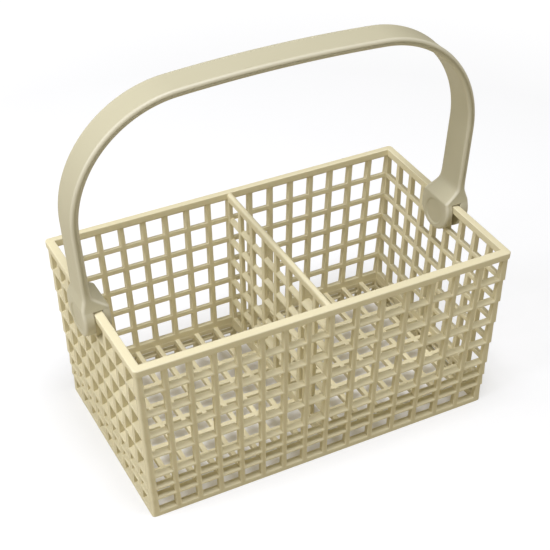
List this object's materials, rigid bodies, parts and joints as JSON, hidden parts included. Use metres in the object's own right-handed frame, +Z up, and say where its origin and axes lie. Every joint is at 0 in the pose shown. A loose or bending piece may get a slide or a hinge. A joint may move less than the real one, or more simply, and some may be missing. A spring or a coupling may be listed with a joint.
{
  "type": "dishwasher cutlery basket",
  "caption": "Open lattice basket, split by a divider, that holds cutlery in a dishwasher, with a hooped strap handle whose forked feet clip over the rims of its end walls.",
  "frame": {"origin": "on the ground, under the middle of the box", "axes": "+Z up, X along the length from handle foot to handle foot, the front long wall faces -Y"},
  "size_m": [0.2552, 0.138, 0.2417],
  "materials": {
    "basket": "satin moulded cream plastic",
    "handle": "satin moulded cream plastic, slightly greyer"
  },
  "bodies": {
    "root": {"basket": "basket", "handle": "handle"}
  },
  "joints": []
}
